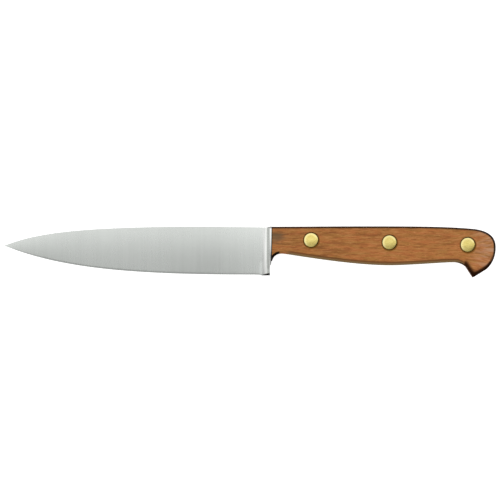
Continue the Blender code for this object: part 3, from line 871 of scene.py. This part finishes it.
forging = {
    "length": 0.1311,
    "depth": 0.0232,
    "bolsterLength": 0.0085,
    "land": 0.00095,  # the bolster's straight part, behind the flare
    "flarePower": 8.0,
    "proud": 0.0001,  # the bolster's land stands above the wood by this much
    "stepLength": 0.0012,  # and its top rises to the land over this length
    # the spine's and the edge's knots; those at the tip and at the edge's bend are without their x
    "spineTip": (-0.009075, 18.5, 0, 0.135),
    "spineTop": (-0.033, 0.0001, 0, 0.745, 0.1),
    "spineEnd": (0, spineRow, 0, 0.2, 0),
    "edgeTip": (-0.009325, -21.7, 0, 0.245),
    "edgeBend": (edgeRow, 0, 0.49, 0.3),  # where the bolster starts
    "edgeEnd": (0, edgeRow, 0, 0.3, 0),
    "lineSteps": 90,
    # the grind
    "spineThickness": 0.0026,
    "tipThickness": 0.0010,
    "tipLeast": 0.20,  # share of the spine's thickness where the blade has no depth
    "tipThinning": 0.0140,  # this much depth adds a whole share, up to the full thickness
    "edgeThickness": 0.00028,
    "sharpThickness": 0.0001,
    "bevelDepth": 0.0007,
    "bulge": 0.6,  # a flat grind has none
    # the heel, and the rounding at the bolster's top, which grows over the wedge's length
    "heelWidth": 0.0065,
    "heelSpan": (-0.0068, -0.0046),  # the edge falls to the heel over this stretch
    "heelChamfer": 0.0010,
    "heelSlope": 1.3,
    "heelInset": 0.0009,
    "widthFall": 6.0,  # the power by which the bolster narrows to the heel
    "topRounding": 0.0015,
    "wedgeLength": 0.0022,
    # the back face curves forward below the scales, and its edge is softer there; the start and the
    # end of that foot are distances below the joint corner
    "footStep": 0.00045,
    "footCurve": 0.0028,
    "footRounding": 0.0002,
    "footStart": (0.0140, 0.0155),
    "footEnd": (0.0175, 0.0190),
    "backRounding": 0.00008,
    "backTurns": (0, 30, 60, 90),  # degrees round the back face's edge
    # the tang, whose front end is inside the bolster
    "tangThickness": 0.0030,
    "tangFront": [(-0.0010, -0.0174), (-0.0016, -0.0174), (-0.0016, -0.003), (-0.0003, -0.0002)],
    "tangStart": 0.0003,
    # columns along the forging, and rows up it: heights above the edge, even rows on the grind, and
    # shares of the top rounding
    "bladeColumns": 110,
    "bladeCrowding": 1.5,
    "flareColumns": 30,
    "flareCrowding": 4.0,
    "edgeRows": (0, 0.00005, 0.00014, 0.0003, 0.0005, 0.0007, 0.0009, 0.0010, 0.0012, 0.0015, 0.0020),
    "grindRows": 26,
    "roundingRows": (1, 0.8, 0.62, 0.46, 0.33, 0.22, 0.13, 0.065, 0.022, 0),
    "shadeAngle": 32,
}


def bladeLines():
    tip, bend = -forging["length"], -forging["bolsterLength"]
    spine = [(tip, *forging["spineTip"]), forging["spineTop"], forging["spineEnd"]]
    edge = [(tip, *forging["edgeTip"]), (bend, *forging["edgeBend"]), forging["edgeEnd"]]
    return [outlinePoints(knots, forging["lineSteps"], closed=False) for knots in (spine, edge)]


def clamped(value):
    return min(max(value, 0), 1)


def eased(value, start, end):
    share = clamped((value - start) / (end - start))
    return share * share * (3 - 2 * share)


def rounded(excess, distance, radius):
    # what a quarter-round leaves of the bolster's thickness at this distance below its top
    radius = min(radius, excess)
    if distance >= radius or radius <= 0:
        return excess
    return excess - radius + math.sqrt(radius**2 - (radius - distance) ** 2)


def forgingBack(y):
    # the leaning back face, and below the scales the curve forward to the heel's back
    if y > scaleFoot - forging["footStep"]:
        return y * backLean
    foot = scaleFront + forging["proud"]
    return foot - (foot + forging["heelInset"]) * eased(scaleFoot - y, 0, forging["footCurve"])


def backRadius(y):
    onFoot = eased(-y, *forging["footStart"]) * (1 - eased(-y, *forging["footEnd"]))
    return forging["backRounding"] + forging["footRounding"] * onFoot


def rowHeights(depth, squeeze):
    # heights above the edge, which a shallow section has closer together
    low = [height * squeeze for height in forging["edgeRows"]]
    high = [depth - forging["topRounding"] * share * squeeze for share in forging["roundingRows"]]
    step = (high[0] - low[-1]) / forging["grindRows"]
    return low + [low[-1] + step * row for row in range(1, forging["grindRows"])] + high


def forgingSection(x, spine, edge):
    # (row, half thickness) up one section, from the edge to the spine
    flareLength = forging["bolsterLength"] - forging["land"]
    along = clamped((x + forging["bolsterLength"]) / flareLength)
    rise = eased(x, -forging["land"] - forging["stepLength"], -forging["land"])
    top = rowAlong(spine, x) * (1 - rise) + forging["proud"] * rise
    bottom = rowAlong(edge, x) - (edgeRow - heelRow) * eased(x, *forging["heelSpan"])
    depth = top - bottom
    taper = clamped(-x / forging["length"])
    atSpine = (forging["spineThickness"] * (1 - taper) + forging["tipThickness"] * taper) / 2
    atSpine *= min(1, forging["tipLeast"] + depth / forging["tipThinning"])
    atEdge = forging["edgeThickness"] / 2
    sharp = forging["sharpThickness"] / 2
    squeeze = min(1, depth / (forging["depth"] / 2))
    wedge = clamped((x + forging["wedgeLength"]) / forging["wedgeLength"])
    section = []
    for height in rowHeights(depth, squeeze):
        share = height / depth
        half = atEdge + (atSpine - atEdge) * share * (1 + forging["bulge"] * (1 - share))
        half = sharp + (half - sharp) * min(1, height / (forging["bevelDepth"] * squeeze))
        fall = clamped((depth - height) / depth) ** forging["widthFall"]
        bolsterHalf = halfWidth + (forging["heelWidth"] / 2 - halfWidth) * fall
        excess = (bolsterHalf - half) * along ** forging["flarePower"]
        chamfer = min(forging["heelChamfer"], excess / forging["heelSlope"])
        excess -= max(0, chamfer - height) * forging["heelSlope"]
        excess = rounded(excess, depth - height, forging["topRounding"] * wedge)
        section.append((bottom + height, half + excess))
    return section


def forgingColumns():
    # closer together at the tip and where the flare grows steep
    length, bolster = forging["length"], forging["bolsterLength"]
    steps = [step / forging["bladeColumns"] for step in range(forging["bladeColumns"] + 1)]
    places = [-length + (length - bolster) * step ** forging["bladeCrowding"] for step in steps]
    flareLength = bolster - forging["land"]
    steepness = forging["flarePower"] * (halfWidth - forging["spineThickness"] / 2) / flareLength
    for step in range(1, forging["flareColumns"] + 1):
        slope = math.tan(math.atan(steepness) * step / forging["flareColumns"])
        along = (slope / steepness) ** (1 / forging["flareCrowding"])
        places.append(-bolster + flareLength * along)
    return places


def forgingSections():
    # from the tip to the bolster, and then round the back face's edge
    spine, edge = bladeLines()
    sections = [[(x, y, half) for y, half in forgingSection(x, spine, edge)] for x in forgingColumns()]
    back = forgingSection(0, spine, edge)
    for turn in forging["backTurns"]:
        reach = 1 - math.sin(math.radians(turn))
        inset = 1 - math.cos(math.radians(turn))
        sections.append([
            (forgingBack(y) - backRadius(y) * reach, y, half - backRadius(y) * inset) for y, half in back
        ])
    return sections


def buildBlade():
    # one side is a grid with a column for each section, and the mirrored side is bridged to it
    sections = forgingSections()
    columns, rows = len(sections) - 1, len(sections[0]) - 1
    bpy.ops.object.select_all(action="DESELECT")
    bpy.ops.mesh.primitive_grid_add(x_subdivisions=columns, y_subdivisions=rows, size=1)
    piece = bpy.context.object
    piece.name = piece.data.name = "blade"
    for vertex in piece.data.vertices:
        column = round((vertex.co.x + 0.5) * columns)
        row = round((vertex.co.y + 0.5) * rows)
        vertex.co = sections[column][row]
    mirror = piece.modifiers.new("other side", "MIRROR")
    mirror.use_axis = (False, False, True)
    mirror.use_mirror_merge = False
    applyModifiers(piece)
    bpy.ops.object.mode_set(mode="EDIT")
    bpy.ops.mesh.select_mode(type="EDGE")
    bpy.ops.mesh.select_all(action="DESELECT")
    bpy.ops.mesh.select_non_manifold()
    bpy.ops.mesh.bridge_edge_loops()
    bpy.ops.mesh.select_all(action="SELECT")
    bpy.ops.mesh.normals_make_consistent(inside=False)
    bpy.ops.object.mode_set(mode="OBJECT")
    return piece


def buildTang():
    knots = handleKnots(forging["tangFront"], forging["tangStart"])
    piece = drawOutline("tang", knots, forging["tangThickness"])
    settle(piece, (0, 0, -forging["tangThickness"] / 2))
    return piece


blade = buildBlade()
tang = buildTang()
for seat in seats:
    cutWith(tang, seat, "DIFFERENCE")
cutWith(blade, tang, "UNION")
bpy.data.objects.remove(tang, do_unlink=True)
settle(blade)
finishPiece(blade, forging["shadeAngle"], "blade_steel", steelMaterial, "blade_and_tang")
print("blade, bolster and tang done")


# scales

scale = {
    "rounding": 0.0015,
    "roundingSteps": 8,
    "tangGap": 0.00005,
    "jointGap": 0.00003,
    "grooveWidth": 0.0002,  # the glue line along the bolster
    "grooveDepth": 0.0005,
    # the clearances' cutters
    "cutterTop": 0.003,
    "cutterBottom": -0.047,
    "cutterFront": -0.009,
    "cutterReach": 0.01,
    "stub": 0.0045,  # the slab starts inside the bolster, and the cutters take this much off
    "faceTolerance": 0.0001,
    "shadeAngle": 34,
}


def buildClearance(gap, low, high):
    # what the scales keep clear of: the bolster's leaning back face and the fillet's steel foot
    top, bottom, front = scale["cutterTop"], scale["cutterBottom"], scale["cutterFront"]
    corners = [
        (top * backLean + gap, top),
        (scaleFoot * backLean + gap, scaleFoot),
        (scaleFront + gap, scaleFoot),
        (scaleFront + gap, bottom),
        (front, bottom),
        (front, top),
    ]
    piece = drawOutline("clearance", cornerKnots(corners), high - low)
    settle(piece, (0, 0, low))
    return piece


def buildScale(name, side, cutters):
    front = [(-scale["rounding"], edgeRow), (-scale["stub"], edgeRow)]
    inner = forging["tangThickness"] / 2 + scale["tangGap"]
    outer = side * halfWidth
    piece = drawOutline(name, handleKnots(front, -scale["stub"]), outer - side * inner)
    settle(piece, (0, 0, side * inner))
    near = scale["faceTolerance"]
    selectEdges(piece, lambda first, second: max(abs(first.z - outer), abs(second.z - outer)) < near)
    bpy.ops.mesh.bevel(
        offset=scale["rounding"], segments=scale["roundingSteps"], profile=0.5, clamp_overlap=False
    )
    bpy.ops.object.mode_set(mode="OBJECT")
    for cutter in cutters:
        cutWith(piece, cutter, "DIFFERENCE")
    return piece


groove = halfWidth - scale["grooveDepth"]
reach = scale["cutterReach"]
cutters = [
    buildClearance(scale["jointGap"], -reach, reach),
    buildClearance(scale["grooveWidth"], groove, reach),
    buildClearance(scale["grooveWidth"], -reach, -groove),
] + seats
for name, node, side in (("scale_near", "scale_left", 1), ("scale_far", "scale_right", -1)):
    slab = buildScale(name, side, cutters)
    settle(slab)
    finishPiece(slab, scale["shadeAngle"], "handle_wood", woodMaterial, node)
for cutter in cutters:
    bpy.data.objects.remove(cutter, do_unlink=True)
print("scales done")


# rivets

def headProfile():
    radius, top = rivet["headRadius"], halfWidth
    dome = [(radius * share, top - rivet["dome"] * share**2) for share in rivet["domeShares"]]
    rim = [(radius * share, top - drop) for share, drop in rivet["rimSteps"]]
    return dome + rim + [(radius, top - rivet["headThickness"])]


def buildRivet(place, half, x, y):
    under = halfWidth - rivet["headThickness"]
    bore = rivet["pinRadius"] + rivet["gap"]
    boreEnd = under - rivet["tubeTip"]
    if half == "tube":
        shank, shankEnd = bore + rivet["wall"], rivet["gap"] - under
        tail = [(shank, under), (shank, shankEnd), (bore, shankEnd), (bore, boreEnd), (0, boreEnd)]
    else:
        pin, pinEnd = rivet["pinRadius"], rivet["gap"] - boreEnd
        tail = [(pin, under), (pin, pinEnd), (0, pinEnd)]
    name = place + "_" + half
    piece = spinProfile(name, headProfile() + tail)
    if half == "pin":
        piece.data.transform(Matrix.Rotation(math.pi, 4, "X"))
    settle(piece, jointCorner + Vector((x, y, 0)))
    finishPiece(piece, rivet["shadeAngle"], "rivet_brass", brassMaterial, "rivet_" + name)


for place, (x, y) in zip(("front", "middle", "rear"), rivetPlaces):
    for half in ("tube", "pin"):
        buildRivet(place, half, x, y)
print("rivets done")
